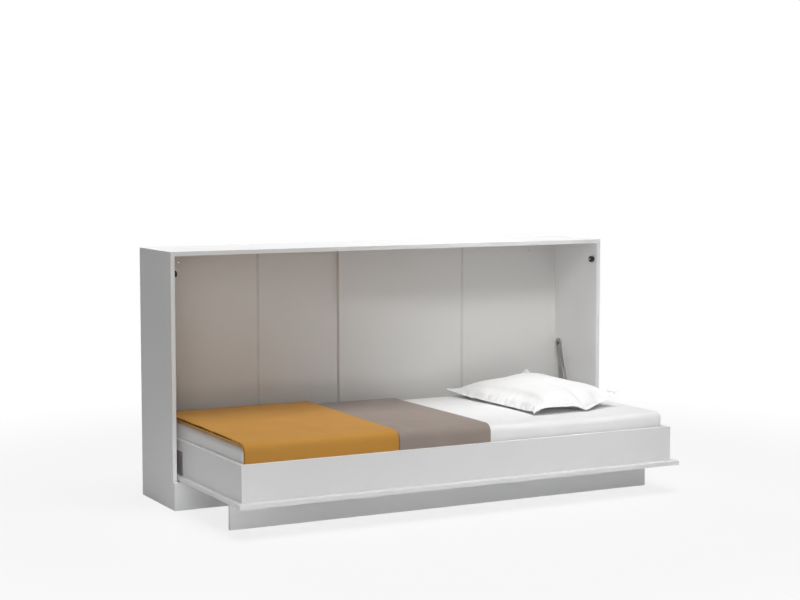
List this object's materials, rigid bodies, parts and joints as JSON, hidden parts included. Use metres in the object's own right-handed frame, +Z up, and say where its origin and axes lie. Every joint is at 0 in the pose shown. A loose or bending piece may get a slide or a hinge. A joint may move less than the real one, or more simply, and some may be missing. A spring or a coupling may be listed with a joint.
{
  "type": "cabinet bed",
  "caption": "Low cupboard with a single bed on its side that folds down in front, standing on a hinged leg board, with mattress, covers and pillow.",
  "frame": {"origin": "on the floor, in the middle of the open bed's outline", "axes": "+X along the cupboard to the right as seen from the bed's open side, +Y to the wall behind the cupboard, +Z up"},
  "size_m": [2.14, 1.051, 1.0861],
  "materials": {
    "white_board": "smooth matt white foil on board",
    "back_board": "smooth matt white foil on thin board",
    "joint_strip": "smooth extruded",
    "pine": "planed",
    "slat_wood": "planed",
    "holder_plastic": "moulded",
    "bracket_steel": "grey powder coat",
    "bright_steel": "zinc plated",
    "bush_plastic": "moulded",
    "strut_black": "satin",
    "stop_rubber": "moulded",
    "sheet_white": "plain cotton",
    "ochre_fabric": "plain cotton",
    "taupe_fabric": "plain cotton"
  },
  "bodies": {
    "cabinet": {"top_panel": "white_board", "base_board": "white_board", "plinth_board": "white_board", "back_panel_far_left": "back_board", "back_panel_near_left": "back_board", "back_panel_near_right": "back_board", "back_panel_far_right": "back_board", "back_joint_strip_left": "joint_strip", "back_joint_strip_right": "joint_strip", "back_centre_board": "white_board", "rear_top_rail": "white_board", "rear_bottom_rail": "white_board", "cabinet_dowels": "slat_wood", "cabinet_cams": "bright_steel", "cabinet_cam_bolts": "bright_steel", "back_panel_screws": "bright_steel", "side_bracket_screws": "bright_steel", "right_side_panel": "white_board", "left_side_panel": "white_board", "right_side_bracket": "bracket_steel", "left_side_bracket": "bracket_steel", "pivot_bushes": "bush_plastic", "strut_top_studs": "bright_steel", "stop_bolts": "bright_steel", "stop_rollers": "stop_rubber"},
    "bed": {"bed_front_rail": "white_board", "bed_rear_rail": "white_board", "front_panel": "white_board", "front_slat_ledge": "pine", "rear_slat_ledge": "pine", "slats": "slat_wood", "slat_holders": "holder_plastic", "frame_corner_angles": "bracket_steel", "corner_angle_screws": "bright_steel", "ledge_screws": "bright_steel", "pivot_plate_screws": "bright_steel", "mattress": "sheet_white", "ochre_cover": "ochre_fabric", "taupe_cover": "taupe_fabric", "pillow": "sheet_white", "leg_hinge_door_leaves": "bright_steel", "leg_hinge_pins": "bright_steel", "leg_hinge_door_screws": "bright_steel", "right_bed_end_rail": "white_board", "left_bed_end_rail": "white_board", "right_end_ledge": "pine", "left_end_ledge": "pine", "right_pivot_plate": "bracket_steel", "left_pivot_plate": "bracket_steel", "right_pivot_pin": "bright_steel", "left_pivot_pin": "bright_steel", "crank_studs": "bright_steel"},
    "leg": {"leg_board": "white_board", "leg_hinge_leg_leaves": "bright_steel", "leg_hinge_leg_screws": "bright_steel"},
    "strut_rod_left": {"left_strut_rod": "bright_steel"},
    "strut_rod_right": {"right_strut_rod": "bright_steel"},
    "strut_cylinder_left": {"left_strut_cylinder": "strut_black"},
    "strut_cylinder_right": {"right_strut_cylinder": "strut_black"}
  },
  "joints": [
    {"name": "bed_fold", "type": "hinge", "parent": "cabinet", "child": "bed", "pos_m": [0, 0.28, 0.25859], "axis": [-1, 0, 0], "range_deg": [0, 90]},
    {"name": "leg_swing", "type": "hinge", "parent": "bed", "child": "leg", "pos_m": [0, -0.3045, 0.11909], "axis": [1, 0, 0], "range_deg": [0, 90]},
    {"name": "left_strut_swing", "type": "hinge", "parent": "cabinet", "child": "strut_rod_left", "pos_m": [-1.038, 0.46, 0.56459], "axis": [1, 0, 0], "range_deg": [-0.2, 1.09]},
    {"name": "left_strut_slide", "type": "slide", "parent": "strut_rod_left", "child": "strut_cylinder_left", "axis": [0, -0.3787, -0.9255], "range_m": [-0.001, 0.10871]},
    {"name": "right_strut_swing", "type": "hinge", "parent": "cabinet", "child": "strut_rod_right", "pos_m": [1.038, 0.46, 0.56459], "axis": [1, 0, 0], "range_deg": [-0.2, 1.09]},
    {"name": "right_strut_slide", "type": "slide", "parent": "strut_rod_right", "child": "strut_cylinder_right", "axis": [0, -0.3787, -0.9255], "range_m": [-0.001, 0.10871]}
  ],
  "couplings": [
    {"joint": "leg_swing", "follows": "bed_fold", "ratio": 1},
    {"joint": "left_strut_swing", "follows": "bed_fold", "ratio": 0.0098696},
    {"joint": "left_strut_slide", "follows": "bed_fold", "m_per_rad": 0.068568},
    {"joint": "right_strut_swing", "follows": "bed_fold", "ratio": 0.0098696},
    {"joint": "right_strut_slide", "follows": "bed_fold", "m_per_rad": 0.068568}
  ]
}
